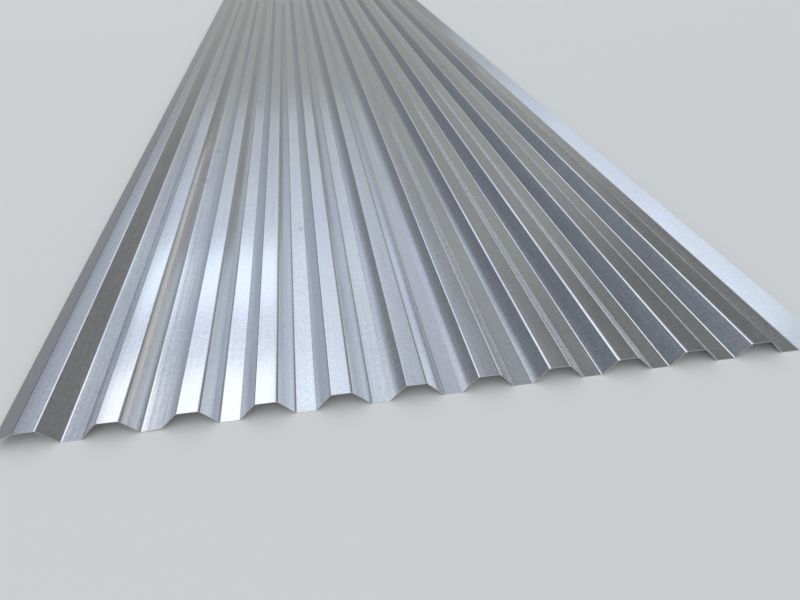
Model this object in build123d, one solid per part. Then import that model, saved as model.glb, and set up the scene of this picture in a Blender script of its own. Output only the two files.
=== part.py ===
"""Ribbed sheet of galvanised steel, rolled from one flat strip.

Eleven flat-topped ribs run the length of the sheet. The left edge is a short lip that falls from the
first crest, and the right edge is a wide flange that rises from the last valley, so that sheets side by
side lap over each other. The sheet lies flat on the undersides of its valleys.

X runs across the ribs, Y along them and Z is up. The origin is the centre of the underside.
"""

import os

from build123d import *

# Driving dimensions, in millimetres
SHEET_LENGTH = 3048.0
THICKNESS = 0.5
RIB_COUNT = 11
RIB_PITCH = 76.2
RIB_DEPTH = 17.5
CREST_WIDTH = 21.6
VALLEY_WIDTH = 20.9
INSIDE_BEND_RADIUS = 4.0
LIP_RUN = 20.7
LIP_DROP = 8.7
FLANGE_RUN = 24.8
FLANGE_RISE = 11.7

# The slope between a crest and a valley takes what their widths leave of the pitch
WEB_RUN = (RIB_PITCH - CREST_WIDTH - VALLEY_WIDTH) / 2


def underside_corners() -> list[tuple[float, float]]:
    """Corners of the sheet's underside from the left edge to the right, before the bends are rounded."""
    corners = [(0.0, RIB_DEPTH - LIP_DROP)]
    for rib in range(RIB_COUNT):
        crest_start = LIP_RUN + rib * RIB_PITCH
        crest_end = crest_start + CREST_WIDTH
        valley_start = crest_end + WEB_RUN
        valley_end = valley_start + VALLEY_WIDTH
        corners += [(crest_start, RIB_DEPTH), (crest_end, RIB_DEPTH), (valley_start, 0.0), (valley_end, 0.0)]
    last_x, last_z = corners[-1]
    corners.append((last_x + FLANGE_RUN, last_z + FLANGE_RISE))
    return corners


def underside_radii() -> list[float]:
    """Radius of the underside at each bend: the inside of a crest's bends and the outside of a valley's."""
    outside_bend_radius = INSIDE_BEND_RADIUS + THICKNESS
    one_rib = [INSIDE_BEND_RADIUS, INSIDE_BEND_RADIUS, outside_bend_radius, outside_bend_radius]
    return one_rib * RIB_COUNT


def sheet_section() -> Sketch:
    """Cross-section of the sheet: its underside, thickened upwards."""
    with BuildSketch(Plane.XZ) as section:
        with BuildLine():
            FilletPolyline(*underside_corners(), radius=underside_radii())
            offset(amount=THICKNESS, side=Side.LEFT)
        make_face()
    return section.sketch


def corrugated_sheet() -> Part:
    """The whole sheet, centred over the origin and standing on the ground plane."""
    sheet = extrude(sheet_section(), amount=SHEET_LENGTH / 2, both=True)
    box = sheet.bounding_box()
    return Pos(-box.center().X, -box.center().Y, -box.min.Z) * sheet


os.makedirs("parts", exist_ok=True)
export_step(corrugated_sheet(), "parts/corrugated_sheet.step")
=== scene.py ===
"""Dresses a ribbed sheet of galvanised steel: the rolled sheet, its zinc finish, the floor and the studio.

The sheet lies flat with its ribs along Y. Everything is in metres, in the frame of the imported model.
"""

import logging
import math
from dataclasses import dataclass, field
from enum import Enum
from typing import Any, Callable, Iterable, Sequence

import bmesh
import bpy
from mathutils import Matrix, Vector


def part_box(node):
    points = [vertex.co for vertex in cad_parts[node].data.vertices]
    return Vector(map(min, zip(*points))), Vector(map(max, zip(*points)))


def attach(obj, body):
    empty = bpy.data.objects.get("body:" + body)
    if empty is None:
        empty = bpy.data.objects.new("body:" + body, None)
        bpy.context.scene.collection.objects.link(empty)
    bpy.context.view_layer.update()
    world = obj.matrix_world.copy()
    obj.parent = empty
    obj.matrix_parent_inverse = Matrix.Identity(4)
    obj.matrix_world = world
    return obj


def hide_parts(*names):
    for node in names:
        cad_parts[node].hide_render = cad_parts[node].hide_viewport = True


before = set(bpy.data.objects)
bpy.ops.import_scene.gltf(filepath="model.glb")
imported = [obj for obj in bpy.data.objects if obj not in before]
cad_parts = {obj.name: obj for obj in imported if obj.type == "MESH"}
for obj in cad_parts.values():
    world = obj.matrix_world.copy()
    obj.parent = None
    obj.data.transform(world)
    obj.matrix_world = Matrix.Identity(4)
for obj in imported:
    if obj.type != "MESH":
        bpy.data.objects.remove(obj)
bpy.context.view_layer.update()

MM = 0.001
NODE = "corrugated_sheet"
BODY = "root"

Colour = tuple[float, float, float]
Point = tuple[float, float]


class Socket:
    """An output socket that takes part in Python expressions, each of which adds a Math node."""

    def __init__(self, tree: "Tree", link: bpy.types.NodeSocket | None) -> None:
        """Keeps the tree that the socket belongs to."""
        self.tree = tree
        self.link = link

    def math(self, operation: str, *values: Any) -> "Socket":
        """Adds one Math node.

        Args:
            operation: The node's operation.
            values: Its inputs in order, sockets or numbers.

        Returns:
            The node's result.
        """
        return self.tree.add("ShaderNodeMath", {"operation": operation}, dict(enumerate(values)))

    def __add__(self, other: Any) -> "Socket":
        """Sum."""
        return self.math("ADD", self, other)

    def __radd__(self, other: Any) -> "Socket":
        """Sum with a number on the left."""
        return self.math("ADD", other, self)

    def __sub__(self, other: Any) -> "Socket":
        """Difference."""
        return self.math("SUBTRACT", self, other)

    def __rsub__(self, other: Any) -> "Socket":
        """Difference from a number on the left."""
        return self.math("SUBTRACT", other, self)

    def __mul__(self, other: Any) -> "Socket":
        """Product."""
        return self.math("MULTIPLY", self, other)

    def __rmul__(self, other: Any) -> "Socket":
        """Product with a number on the left."""
        return self.math("MULTIPLY", other, self)

    def __truediv__(self, other: Any) -> "Socket":
        """Quotient."""
        return self.math("DIVIDE", self, other)

    def __rtruediv__(self, other: Any) -> "Socket":
        """Quotient of a number on the left."""
        return self.math("DIVIDE", other, self)

    def __pow__(self, other: Any) -> "Socket":
        """Power."""
        return self.math("POWER", self, other)

    def __abs__(self) -> "Socket":
        """Size without its sign."""
        return self.math("ABSOLUTE", self)

    def step(self, low: float, high: float) -> "Socket":
        """A smooth rise from 0 at one value to 1 at another.

        Args:
            low: The value at which the rise starts.
            high: The value at which it ends. It may lie below the start.

        Returns:
            The risen share.
        """
        settings = {"interpolation_type": "SMOOTHSTEP"}
        if low < high:
            return self.tree.add("ShaderNodeMapRange", settings, {0: self, 1: low, 2: high})
        return 1.0 - self.step(high, low)


class Tree:
    """The nodes of one material or of the world."""

    def __init__(self, nodes: bpy.types.NodeTree) -> None:
        """Empties the tree."""
        self.nodes = nodes.nodes
        self.links = nodes.links
        self.nodes.clear()

    def add(
        self,
        kind: str,
        settings: dict[str, Any] | None = None,
        inputs: dict[int | str, Any] | None = None,
        output: int | str = 0,
    ) -> Socket:
        """Adds a node of any type.

        Args:
            kind: The node's type.
            settings: Its properties, set first. A ramp's stops go in as "stops".
            inputs: Values or links by input name or number.
            output: Which of the node's outputs is returned.

        Returns:
            The chosen output, or a socket without a link where the node has none.
        """
        node = self.nodes.new(kind)
        for name, value in (settings or {}).items():
            if name == "stops":
                self.set_stops(node.color_ramp, value)
            else:
                setattr(node, name, value)
        for name, value in (inputs or {}).items():
            if isinstance(value, Socket):
                self.links.new(value.link, node.inputs[name])
            else:
                node.inputs[name].default_value = value
        return Socket(self, node.outputs[output] if len(node.outputs) else None)

    @staticmethod
    def set_stops(ramp: bpy.types.ColorRamp, stops: Sequence[tuple[float, Colour]]) -> None:
        """Sets a ramp's stops.

        Args:
            ramp: The ramp, which starts with two stops.
            stops: Each stop's place and colour.
        """
        while len(ramp.elements) < len(stops):
            ramp.elements.new(1.0)
        for element, (place, tint) in zip(ramp.elements, stops):
            element.position = place
            element.color = (*tint, 1.0)

    def split(self, vector: Socket) -> tuple[Socket, Socket, Socket]:
        """Splits a vector into its three values."""
        node = self.nodes.new("ShaderNodeSeparateXYZ")
        self.links.new(vector.link, node.inputs[0])
        return tuple(Socket(self, output) for output in node.outputs)

    def mix(self, share: Any, first: Any, second: Any) -> Socket:
        """Mixes two colours.

        Args:
            share: How much of the second colour there is.
            first: A colour or a colour socket.
            second: A colour or a colour socket.

        Returns:
            The mixed colour.
        """
        inputs = {0: share, 6: self.rgba(first), 7: self.rgba(second)}
        return self.add("ShaderNodeMix", {"data_type": "RGBA"}, inputs, output=2)

    @staticmethod
    def rgba(tint: Any) -> Any:
        """Gives a colour its fourth value, and leaves a socket alone."""
        return tint if isinstance(tint, Socket) else (*tint, 1.0)

    def stretch(self, vector: Socket, by: tuple[float, float, float]) -> Socket:
        """Multiplies a vector by another, value by value."""
        return self.add("ShaderNodeVectorMath", {"operation": "MULTIPLY"}, {0: vector, 1: by})

    def scale(self, vector: Socket, by: Any) -> Socket:
        """Multiplies a vector or colour by a value."""
        return self.add("ShaderNodeVectorMath", {"operation": "SCALE"}, {0: vector, "Scale": by})


@dataclass(frozen=True)
class Layer:
    """One layer of noise in a finish.

    It is given by its bumps to a metre, across the ribs and along them, by its finer detail, and by how much it
    changes the tone, the roughness and the height, in metres.
    """

    across: float
    along: float
    detail: float
    rough: float
    tone: float = 0.0
    gloss: float = 0.0
    relief: float = 0.0

    def read(self, tree: Tree, place: Socket) -> Socket:
        """Adds the layer's noise.

        Args:
            tree: The material's nodes.
            place: Object coordinates.

        Returns:
            A value around zero.
        """
        inputs = {
            "Vector": tree.stretch(place, (self.across, self.along, self.across)),
            "Scale": 1.0,
            "Detail": self.detail,
            "Roughness": self.rough,
        }
        return tree.add("ShaderNodeTexNoise", {"noise_dimensions": "3D"}, inputs) - 0.5


@dataclass(frozen=True)
class ZincFinish:
    """Hot-dip zinc on rolled steel: fine grain, faint spangle, faint streaks along the ribs, a few marks, and
    painted shade on the crests and the far part of the flange.
    """

    tint: Colour = (0.64, 0.65, 0.69)
    patch_tint: Colour = (0.63, 0.66, 0.66)
    edge_tint: Colour = (0.70, 0.70, 0.70)
    roughness: float = 0.12
    edge_roughness: float = 0.25
    right_roughness: float = 0.04
    left_roughness: float = 0.1
    grain: Layer = Layer(1 / (1.3 * MM), 0.4 / (1.3 * MM), 2.0, 0.65, tone=0.36, relief=1.8e-6)
    streaks: Layer = Layer(1 / (2.5 * MM), 6.0, 2.0, 0.6, tone=0.14, gloss=0.05, relief=1.5e-6)
    waves: Layer = Layer(28.0, 3.2, 1.0, 0.4, relief=1.4e-4)
    patches: Layer = Layer(22.0, 7.0, 3.0, 0.6, tone=0.1, gloss=0.06)
    spangle_size: float = 3.5 * MM
    spangle_tone: float = 0.06
    spangle_gloss: float = 0.03
    slope_facing: Point = (0.5, 0.65)
    # The crest height, the flange's start and the far part place the painted shade on the crests and the flange
    crest_height: float = 17.4 * MM
    half_length: float = 1524.0 * MM
    flange_start: float = 408.8 * MM
    far_part: Point = (-0.8, 0.2)
    mark_depth: float = 0.16
    marks: tuple[tuple[float, float, float], ...] = (
        (-0.296, 0.147, 0.010),
        (0.282, -0.199, 0.012),
        (-0.287, -0.709, 0.008),
        (-0.296, -0.867, 0.007),
        (-0.130, -1.102, 0.006),
    )

    def material(self) -> bpy.types.Material:
        """Builds the finish.

        Returns:
            The material.
        """
        made = bpy.data.materials.new("galvanised_steel")
        made.use_nodes = True
        tree = Tree(made.node_tree)
        place = tree.add("ShaderNodeTexCoord", output="Object")
        _, y, _ = tree.split(place)
        facing, _, _ = tree.split(tree.add("ShaderNodeTexCoord", output="Normal"))
        start, end = self.slope_facing
        right, left = facing.step(start, end), facing.step(-start, -end)
        layers = (self.grain, self.streaks, self.waves, self.patches)
        grain, streaks, waves, patches = (layer.read(tree, place) for layer in layers)
        spangle = self.spangle(tree, place)

        speckle = grain * (1.0 - right * 0.8 + left * 0.4)
        bright = 1.0 + speckle * self.grain.tone + streaks * self.streaks.tone + spangle * self.spangle_tone
        # The subtracted darkening is painted shade on the crests and the far flange, plus a few real marks
        bright = bright + patches * self.patches.tone - self.painted_shade_and_marks(tree, place, grain)
        edge = abs(y).step(self.half_length - 0.25 * MM, self.half_length - 0.05 * MM)
        clean = tree.scale(tree.mix(patches.step(-0.1, 0.25), self.tint, self.patch_tint), bright)
        colour = tree.mix(edge, clean, self.edge_tint)

        rough = self.roughness + streaks * self.streaks.gloss + spangle * self.spangle_gloss
        rough = rough + patches * self.patches.gloss + edge * self.edge_roughness
        rough = rough + right * self.right_roughness + left * self.left_roughness

        relief = speckle * self.grain.relief + streaks * self.streaks.relief
        height = relief * (1.0 - right * 0.85) + waves * self.waves.relief
        bump = tree.add("ShaderNodeBump", None, {"Strength": 1.0, "Distance": 1.0, "Height": height})
        inputs = {"Base Color": colour, "Metallic": 1.0, "Roughness": rough, "Normal": bump}
        shader = tree.add("ShaderNodeBsdfPrincipled", None, inputs)
        tree.add("ShaderNodeOutputMaterial", None, {"Surface": shader})
        return made

    def spangle(self, tree: Tree, place: Socket) -> Socket:
        """Adds the zinc's crystals, each of one tone.

        Args:
            tree: The material's nodes.
            place: Object coordinates.

        Returns:
            A value around zero.
        """
        inputs = {"Vector": tree.scale(place, 1 / self.spangle_size), "Scale": 1.0}
        cells = tree.add("ShaderNodeTexVoronoi", {"feature": "F1"}, inputs, output="Color")
        tone, _, _ = tree.split(cells)
        return tone - 0.5

    def painted_shade_and_marks(self, tree: Tree, place: Socket, grain: Socket) -> Socket:
        """Adds up a slight darkening of every crest, painted shade that darkens the crests towards the right and
        the far end, painted shade on the far part of the flange, and a few real marks.

        Args:
            tree: The material's nodes.
            place: Object coordinates.
            grain: The fine grain, which frays the edges of the marks.

        Returns:
            How much darker the zinc is.
        """
        x, y, z = tree.split(place)
        far = y.step(*self.far_part)
        crest = z.step(self.crest_height - 0.4 * MM, self.crest_height)
        # Every crest a little darker, and painted shade that darkens the crests more towards the right and the far
        # end
        darkening = crest * (x.step(0.0, 0.15) * 0.08 + x.step(0.1, 0.3) * far * 0.08 + 0.03)
        # Painted shade that darkens the far part of the flange
        darkening = darkening + x.step(self.flange_start - MM, self.flange_start + MM) * far * 0.24
        for mark_x, mark_y, size in self.marks:
            away = ((x - mark_x) ** 2.0 + (y - mark_y) ** 2.0 * 0.2) ** 0.5
            darkening = darkening + (away + grain * size).step(size, size * 0.3) * self.mark_depth
        return darkening


@dataclass(frozen=True)
class PlainFinish:
    """One matt colour, for the floor."""

    name: str
    tint: Colour
    roughness: float = 0.9
    specular: float = 0.2

    def material(self) -> bpy.types.Material:
        """Builds the finish.

        Returns:
            The material.
        """
        made = bpy.data.materials.new(self.name)
        made.use_nodes = True
        tree = Tree(made.node_tree)
        inputs = {
            "Base Color": (*self.tint, 1.0),
            "Roughness": self.roughness,
            "Specular IOR Level": self.specular,
        }
        shader = tree.add("ShaderNodeBsdfPrincipled", None, inputs)
        tree.add("ShaderNodeOutputMaterial", None, {"Surface": shader})
        return made


class Turn(Enum):
    """Which way a bend turns the section as it goes from left to right."""

    UP = 1
    DOWN = -1


class Corner(Enum):
    """The corners of one rib's section, from left to right."""

    CREST_START = 0
    CREST_END = 1
    VALLEY_START = 2
    VALLEY_END = 3


def by_rib(table: dict[Corner, dict[int, float]]) -> dict[tuple[int, Corner], float]:
    """Turns a table in millimetres, by corner and then by rib, to metres by rib and corner."""
    return {(rib, corner): value * MM for corner, row in table.items() for rib, value in row.items()}


# How far the rolled sheet's corners lie to the right of their place, and how far above it
ASIDE = by_rib(
    {
        Corner.CREST_START: {5: -0.35, 6: 0.7},
        Corner.CREST_END: {1: -0.9, 4: 0.35, 5: -0.8, 7: 0.8, 8: 0.3},
        Corner.VALLEY_START: {1: 0.9, 4: -0.35, 5: 0.8, 7: -0.8, 8: -0.3},
        Corner.VALLEY_END: {4: 0.35, 5: -0.7},
    }
)
LIFT = by_rib(
    {
        Corner.CREST_END: {2: -0.25},
        Corner.VALLEY_END: {1: 0.25, 2: 1.25},
    }
)

# Inside radii of the bends that are sharper or rounder than the rest
RADII = by_rib(
    {
        Corner.CREST_START: {2: 1.5, 3: 1.5, 4: 1.5, 5: 1.5, 6: 1.0, 7: 3.0, 8: 5.0, 9: 5.5, 10: 4.0, 11: 4.0},
        Corner.CREST_END: {1: 2.5, 2: 5.0, 3: 5.0, 4: 5.0, 5: 5.0, 10: 1.5, 11: 1.5},
        Corner.VALLEY_START: {10: 2.0, 11: 2.0},
        Corner.VALLEY_END: {1: 1.0, 2: 1.0, 3: 1.0, 4: 1.0, 5: 1.0, 6: 1.0, 7: 1.5, 8: 2.5, 9: 2.5, 10: 3.0},
    }
)

# The slopes that are straight across, each by the corner that it starts at
STRAIGHT = (
    (1, Corner.CREST_END),
    (10, Corner.CREST_END),
    (10, Corner.VALLEY_END),
    (11, Corner.CREST_END),
)


@dataclass
class RibbedSheet:
    """The whole sheet, rolled from one strip: a lip, eleven ribs with flat tops, and a flange."""

    thickness: float = 0.5 * MM
    rib_count: int = 11
    pitch: float = 76.2 * MM
    depth: float = 17.5 * MM
    crest: float = 21.6 * MM
    valley: float = 20.9 * MM
    bend_radius: float = 4.0 * MM
    lip: Point = (20.7 * MM, 8.7 * MM)
    flange: Point = (24.8 * MM, 11.7 * MM)
    slope_crown: float = math.radians(4.0)
    flat_crown: float = math.radians(1.0)
    crown_radius: float = 40.0 * MM
    clearance: float = 0.003 * MM
    spin_step: float = math.radians(9.5)
    smooth_angle: float = math.radians(30)
    length_steps: int = 48
    heading: float = field(default=0.0, init=False)
    pen: Vector = field(default_factory=lambda: Vector((0, 0, 0)), init=False)

    def corners(self) -> list[Vector]:
        """Corners of the underside from the left edge to the right, before the bends are rounded.

        Returns:
            Each corner's place, with the sheet's left edge at the edge of its box.
        """
        low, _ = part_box(NODE)
        slope = (self.pitch - self.crest - self.valley) / 2
        left = low.x + self.thickness * math.sin(math.atan2(self.lip[1], self.lip[0]))
        top = self.depth - self.crown_height(self.crest)
        bottom = self.crown_height(self.valley)
        points = [Vector((left, 0.0, low.z + self.depth - self.lip[1]))]
        for rib in range(1, self.rib_count + 1):
            start = left + self.lip[0] + (rib - 1) * self.pitch
            end = start + self.crest
            places = {
                Corner.CREST_START: (start, top),
                Corner.CREST_END: (end, top),
                Corner.VALLEY_START: (end + slope, bottom),
                Corner.VALLEY_END: (end + slope + self.valley, bottom),
            }
            for corner, (x, z) in places.items():
                aside, lift = ASIDE.get((rib, corner), 0.0), LIFT.get((rib, corner), 0.0)
                points.append(Vector((x + aside, 0.0, low.z + z + lift)))
        points.append(Vector((points[-1].x + self.flange[0], 0.0, low.z + self.flange[1])))
        return points

    def crown_height(self, width: float) -> float:
        """How far a crowned flat stands out past its corners, with a little room to the sheet's box."""
        return width / 3 * math.tan(self.flat_crown / 2) + self.clearance

    @staticmethod
    def corner_at(place: int) -> tuple[int, Corner]:
        """The rib and the kind of a corner, where the first rib starts at place 1."""
        rib, number = divmod(place - 1, len(Corner))
        return rib + 1, Corner(number)

    def crown(self, place: int) -> float:
        """How much the flat after a corner bulges upwards, as the angle between its two ends.

        Args:
            place: The corner that the flat starts at.

        Returns:
            The angle, below zero in a valley.
        """
        rib, corner = self.corner_at(place)
        if (rib, corner) in STRAIGHT:
            return 0.0
        crowns = {Corner.CREST_START: self.flat_crown, Corner.VALLEY_START: -self.flat_crown}
        return crowns.get(corner, self.slope_crown)

    def crowned(self, corners: Sequence[Vector]) -> list[tuple[Vector, float]]:
        """Puts two more corners on each flat between two bends, so that it bulges a little.

        Args:
            corners: The section's corners.

        Returns:
            Each corner and its inside radius, with the added ones between them.
        """
        points = [(corners[0], 0.0)]
        for place, (start, end) in enumerate(zip(corners, corners[1:])):
            if 0 < place < len(corners) - 2:
                run = end - start
                normal = Vector((-run.z, 0.0, run.x)).normalized()
                rise = normal * run.length / 3 * math.tan(self.crown(place) / 2)
                points += [(start + run * share + rise, self.crown_radius) for share in (1 / 3, 2 / 3)]
            points.append((end, RADII.get(self.corner_at(place + 1), self.bend_radius)))
        return points

    def roll(self) -> bpy.types.Object:
        """Rolls the sheet: a strip along the left edge, then flats drawn out and bends spun round.

        Returns:
            The finished sheet.
        """
        low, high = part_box(NODE)
        points = self.crowned(self.corners())
        corners = [point for point, _ in points]
        runs = [b - a for a, b in zip(corners, corners[1:])]
        headings = [math.atan2(run.z, run.x) for run in runs]
        turns = [b - a for a, b in zip(headings, headings[1:])] + [0.0]
        sheet = self.start_strip(corners[0], low.y, high.y)
        self.pen = corners[0].copy()
        tangent = 0.0
        for run, heading, turn, (_, inside) in zip(runs, headings, turns, points[1:]):
            radius = self.underside_radius(turn, inside)
            next_tangent = radius * math.tan(abs(turn) / 2)
            self.heading = heading
            self.draw_flat(run.length - tangent - next_tangent)
            if turn:
                self.spin_bend(turn, radius)
            tangent = next_tangent
        self.drop_start(sheet, low.x)
        self.thicken(sheet)
        return sheet

    def underside_radius(self, turn: float, inside: float) -> float:
        """Radius of the underside at a bend.

        Args:
            turn: The bend's angle, above zero where the section turns up.
            inside: The bend's inside radius.

        Returns:
            The inside radius where the section turns down, or the outside radius where it turns up.
        """
        return inside + (self.thickness if turn > 0 else 0.0)

    def start_strip(self, corner: Vector, front: float, back: float) -> bpy.types.Object:
        """Adds a plane left of the sheet, cuts it along the length and selects its right edge.

        Args:
            corner: Where the section starts, which is where the right edge lies.
            front: The front end of the sheet.
            back: The back end of the sheet.

        Returns:
            The object, in edit mode, with the starting edge selected.
        """
        half = 0.5
        bpy.ops.object.select_all(action="DESELECT")
        middle = (corner.x - half, (front + back) / 2, corner.z)
        bpy.ops.mesh.primitive_plane_add(size=2 * half, location=middle)
        sheet = bpy.context.object
        sheet.name = "rolled_sheet"
        bpy.ops.object.mode_set(mode="EDIT")
        bpy.ops.mesh.select_mode(type="EDGE")
        bpy.ops.transform.resize(value=(1, back - front, 1), center_override=middle)
        self.select_edges(sheet, lambda a, b: abs(a.x - b.x) < half)
        bpy.ops.mesh.subdivide(number_cuts=self.length_steps - 1)
        self.select_edges(sheet, lambda a, b: min(a.x, b.x) > 0.0)
        bpy.ops.object.mode_set(mode="OBJECT")
        bpy.ops.object.transform_apply(location=True, rotation=True, scale=True)
        bpy.ops.object.mode_set(mode="EDIT")
        bpy.ops.mesh.select_mode(type="EDGE")
        return sheet

    @staticmethod
    def select_edges(piece: bpy.types.Object, wanted: Callable[[Vector, Vector], bool]) -> None:
        """Selects the edges of a piece in edit mode by where their ends are.

        Args:
            piece: The piece.
            wanted: Says of an edge's two ends whether the edge is selected.
        """
        bpy.ops.mesh.select_all(action="DESELECT")
        mesh = bmesh.from_edit_mesh(piece.data)
        for edge in mesh.edges:
            edge.select_set(wanted(edge.verts[0].co, edge.verts[1].co))
        bmesh.update_edit_mesh(piece.data)

    def draw_flat(self, length: float) -> None:
        """Draws the selected edge out by a flat, along the present heading.

        Args:
            length: The flat's width.
        """
        move = Vector((math.cos(self.heading), 0, math.sin(self.heading))) * length
        bpy.ops.mesh.extrude_region_move(TRANSFORM_OT_translate={"value": move})
        self.pen += move

    def spin_bend(self, turn: float, radius: float) -> None:
        """Spins the selected edge round a bend.

        Args:
            turn: The bend's angle, above zero where the section turns up.
            radius: The bend's radius at the underside.
        """
        side = Turn.UP if turn > 0 else Turn.DOWN
        normal = Vector((-math.sin(self.heading), 0, math.cos(self.heading)))
        centre = self.pen + normal * radius * side.value
        steps = max(1, round(abs(turn) / self.spin_step))
        bpy.ops.mesh.spin(steps=steps, angle=turn, center=centre, axis=(0, 1, 0))
        self.pen = centre + Matrix.Rotation(turn, 3, (0, -1, 0)) @ (self.pen - centre)

    def drop_start(self, sheet: bpy.types.Object, left: float) -> None:
        """Takes away the far edge of the starting plane, joins the strip up and turns its faces up.

        Args:
            sheet: The strip, in edit mode.
            left: The left edge of the sheet's box.
        """
        bpy.ops.mesh.select_all(action="DESELECT")
        mesh = bmesh.from_edit_mesh(sheet.data)
        for vertex in mesh.verts:
            vertex.select_set(vertex.co.x < left - 0.5)
        bmesh.update_edit_mesh(sheet.data)
        bpy.ops.mesh.select_mode(type="VERT")
        bpy.ops.mesh.delete(type="VERT")
        bpy.ops.mesh.select_all(action="SELECT")
        bpy.ops.mesh.remove_doubles(threshold=1e-6)
        mesh = bmesh.from_edit_mesh(sheet.data)
        mesh.normal_update()
        if sum(face.normal.z for face in mesh.faces) < 0:
            bpy.ops.mesh.select_all(action="SELECT")
            bpy.ops.mesh.flip_normals()

    def thicken(self, sheet: bpy.types.Object) -> None:
        """Gives the strip its thickness and shades it.

        Args:
            sheet: The strip, in edit mode.
        """
        bpy.ops.object.mode_set(mode="OBJECT")
        wall = sheet.modifiers.new("thickness", "SOLIDIFY")
        wall.thickness = self.thickness
        wall.offset = 1.0
        wall.use_even_offset = True
        bpy.ops.object.modifier_apply(modifier=wall.name)
        bpy.ops.object.shade_smooth_by_angle(angle=self.smooth_angle)
        weigh = sheet.modifiers.new("weighted_normals", "WEIGHTED_NORMAL")
        weigh.keep_sharp = True
        bpy.ops.object.modifier_apply(modifier=weigh.name)

    def dress(self, sheet: bpy.types.Object) -> None:
        """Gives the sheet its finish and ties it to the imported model.

        Args:
            sheet: The finished sheet.
        """
        sheet.data.materials.clear()
        sheet.data.materials.append(ZincFinish().material())
        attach(sheet, BODY)
        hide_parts(NODE)


@dataclass(frozen=True)
class FlatLamp:
    """A rectangular lamp that the camera doesn't see, level over the sheet or upright beside it.

    Its level is 1 where it is as bright as a white surface in plain light. An upright one faces left, and only the
    metal mirrors it.
    """

    name: str
    middle: tuple[float, float, float]
    sides: Point
    level: float
    tint: Colour
    upright: bool = False

    def hang(self) -> None:
        """Adds the lamp to the scene."""
        lamp = bpy.data.lights.new(self.name, "AREA")
        lamp.shape = "RECTANGLE"
        lamp.size, lamp.size_y = self.sides
        lamp.energy = self.level * lamp.size * lamp.size_y * math.pi
        lamp.color = self.tint
        holder = bpy.data.objects.new(self.name, lamp)
        holder.location = self.middle
        holder.visible_camera = False
        if self.upright:
            holder.rotation_euler = (0.0, math.radians(90), 0.0)
            holder.visible_diffuse = False
        bpy.context.scene.collection.objects.link(holder)


# Colours of the lamps
NEAR = (0.98, 1.0, 1.0)
COOL = (0.88, 1.0, 1.14)
BLUE = (0.84, 1.0, 1.24)
PANEL_COOL = (0.87, 1.0, 1.19)
PANEL_PLAIN = (1.0, 0.99, 0.95)

# The lamps overhead stand in rows along the ribs. Each row has its name, where its sides are, and its level in each
# of the lengths that follow. Each length has its ends and its colour. Places are shares of the lamps' height.
ROWS = (
    ("left", (-0.583, -0.12), (0.25, 1.04, 0.44, 0.86, 0.27, 0.2)),
    ("middle", (-0.12, 0.075), (0.2, 0.54, 0.44, 0.38, 0.3, 0.25)),
    ("right", (0.075, 0.14), (0.1, 0.16, 0.2, 0.22, 0.2, 0.18)),
    ("edge", (0.14, 0.3), (0.0, 0.0, 0.02, 0.05, 0.1, 0.12)),
)
LENGTHS = (
    ((-3.0, 0.6), NEAR),
    ((0.6, 1.15), NEAR),
    ((1.15, 1.43), COOL),
    ((1.43, 1.82), COOL),
    ((1.82, 2.49), BLUE),
    ((2.49, 3.5), BLUE),
)

# The panels at the right: where each starts and ends along the ribs, its heights, its level and its colour
PANELS = (
    ((0.5, 2.3), (0.0, 0.45), 0.42, PANEL_COOL),
    ((2.3, 4.2), (0.0, 0.45), 0.26, PANEL_COOL),
    ((4.2, 6.0), (0.0, 0.45), 0.08, PANEL_COOL),
    ((0.5, 2.3), (0.45, 1.3), 0.62, PANEL_COOL),
    ((2.3, 4.2), (0.45, 1.3), 0.47, PANEL_COOL),
    ((4.2, 6.0), (0.45, 1.3), 0.12, PANEL_COOL),
    ((6.0, 9.0), (0.45, 1.3), 0.05, PANEL_COOL),
    ((0.5, 8.0), (1.45, 1.7), 0.9, PANEL_PLAIN),
)

# The world from the left horizon over the top to the right horizon
DOME = (
    (0.0, (0.32, 0.33, 0.35)),
    (0.05, (0.19, 0.205, 0.24)),
    (0.155, (0.175, 0.19, 0.22)),
    (0.21, (0.545, 0.585, 0.66)),
    (0.54, (0.60, 0.64, 0.71)),
    (0.6, (0.64, 0.68, 0.79)),
    (0.64, (0.60, 0.63, 0.70)),
    (0.67, (0.39, 0.415, 0.46)),
    (0.705, (0.43, 0.44, 0.45)),
    (0.745, (0.3, 0.3, 0.3)),
    (0.83, (0.24, 0.24, 0.235)),
    (0.89, (0.215, 0.215, 0.21)),
    (1.0, (0.24, 0.24, 0.235)),
)


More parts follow.
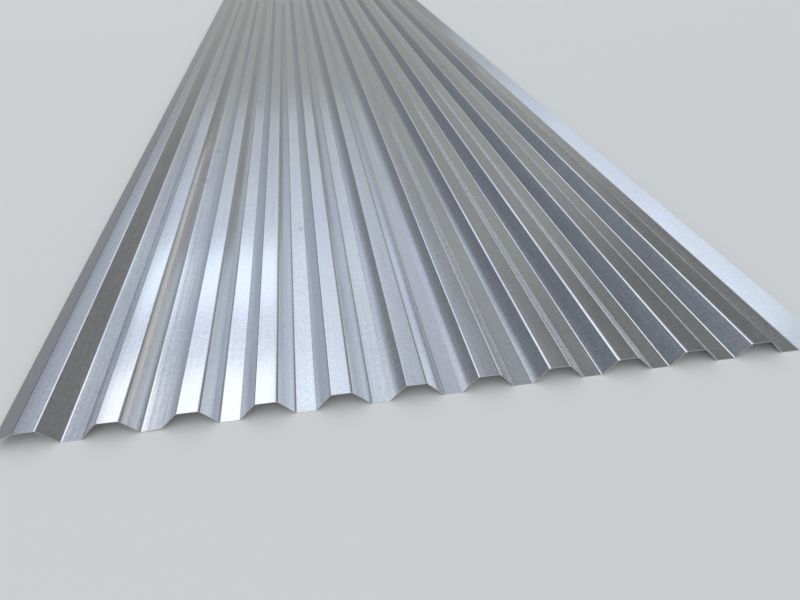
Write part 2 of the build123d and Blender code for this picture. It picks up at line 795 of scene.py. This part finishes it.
@dataclass
class Studio:
    """The plain floor, the soft boxes, the even surround and the camera."""

    floor_size: float = 80.0
    floor_tint: Colour = (0.82, 0.82, 0.81)
    roof: float = 8.0
    panel_distance: float = 2.6
    ahead_tint: Colour = (0.405, 0.41, 0.395)
    low_tint: Colour = (0.55, 0.57, 0.6)
    high_tint: Colour = (0.98, 0.99, 1.0)
    seen_tint: Colour = (0.69, 0.71, 0.735)
    eye: tuple[float, float, float] = (-0.1028, -2.029, 0.4482)
    right: tuple[float, float, float] = (0.98804, -0.15137, -0.02912)
    up: tuple[float, float, float] = (0.10588, 0.52913, 0.84191)
    back: tuple[float, float, float] = (-0.11204, -0.83493, 0.53883)
    lens: float = 29.25
    sensor: float = 36.0
    clip: Point = (0.01, 200.0)

    def lay_floor(self) -> None:
        """Adds the floor, which isn't part of the object."""
        bpy.ops.object.select_all(action="DESELECT")
        bpy.ops.mesh.primitive_plane_add(size=self.floor_size, location=(0, 0, 0))
        floor = bpy.context.object
        floor.name = "floor"
        floor.data.materials.append(PlainFinish("plain_floor", self.floor_tint).material())

    def hang_lamps(self) -> None:
        """Hangs four rows of soft boxes along the ribs."""
        for name, across, levels in ROWS:
            for place, ((along, tint), level) in enumerate(zip(LENGTHS, levels)):
                if level:
                    middle = (sum(across) / 2 * self.roof, sum(along) / 2 * self.roof, self.roof)
                    sides = ((across[1] - across[0]) * self.roof, (along[1] - along[0]) * self.roof)
                    shade = COOL if name != "left" and tint == NEAR else tint
                    FlatLamp(f"box_{name}_{place}", middle, sides, level, shade).hang()

    def stand_panels(self) -> None:
        """Stands low lit panels along the right-hand side, which only the metal mirrors."""
        for place, (along, height, level, tint) in enumerate(PANELS):
            middle = (self.panel_distance, sum(along) / 2, sum(height) / 2)
            sides = (height[1] - height[0], along[1] - along[0])
            FlatLamp(f"panel_{place}", middle, sides, level, tint, upright=True).hang()

    def surround(self) -> None:
        """Sets the world: dim at both sides, brighter overhead, even at the horizon ahead."""
        world = bpy.data.worlds.new("surround")
        bpy.context.scene.world = world
        world.use_nodes = True
        tree = Tree(world.node_tree)
        x, y, z = tree.split(tree.add("ShaderNodeTexCoord", output="Generated"))
        side = x / (x * x + z * z) ** 0.5
        dome = tree.add("ShaderNodeValToRGB", {"stops": DOME}, {0: side * 0.5 + 0.5})

        # The horizon ahead reaches further up in the middle right, and less far up at both sides
        early = side.step(0.3, 0.5) * 0.12 - side.step(0.72, 0.8) * 0.16
        reach = y + early - side.step(-0.6, -0.75) * 0.07
        ahead = tree.mix(reach.step(0.86, 0.99), dome, self.ahead_tint)

        # From the sides round to the back the world is even, and paler overhead
        across = tree.mix(y.step(0.58, 0.4), ahead, self.low_tint)
        behind = tree.mix(z.step(0.25, 0.6), self.low_tint, self.high_tint)
        all_round = tree.mix(y.step(0.0, -0.4), across, behind)
        seen = tree.add("ShaderNodeLightPath", output="Is Camera Ray")
        colour = tree.mix(seen, all_round, self.seen_tint)
        light = tree.add("ShaderNodeBackground", None, {"Color": colour, "Strength": 1.0})
        tree.add("ShaderNodeOutputWorld", None, {"Surface": light})

    def place_camera(self) -> None:
        """Sets the camera at the viewing angle of the photograph."""
        data = bpy.data.cameras.new("camera")
        data.sensor_width = self.sensor
        data.lens = self.lens
        data.clip_start, data.clip_end = self.clip
        camera = bpy.data.objects.new("camera", data)
        axes = Matrix((self.right, self.up, self.back)).transposed()
        camera.matrix_world = Matrix.Translation(self.eye) @ axes.to_4x4()
        bpy.context.scene.collection.objects.link(camera)
        bpy.context.scene.camera = camera


def report(step: str, pieces: Iterable[bpy.types.Object]) -> None:
    """Logs what a step made.

    Args:
        step: The step's name.
        pieces: The pieces that it made.
    """
    for piece in pieces:
        triangles = sum(len(face.vertices) - 2 for face in piece.data.polygons)
        logging.info("%s: %s, %d triangles", step, piece.name, triangles)


def main() -> None:
    """Builds the sheet and the studio in order."""
    logging.basicConfig(level=logging.INFO, format="%(message)s")
    bpy.context.scene.view_settings.view_transform = "Standard"
    studio = Studio()
    studio.place_camera()
    builder = RibbedSheet()
    sheet = builder.roll()
    builder.dress(sheet)
    report("sheet", [sheet])
    studio.lay_floor()
    studio.hang_lamps()
    studio.stand_panels()
    studio.surround()


if __name__ == "__main__":
    main()
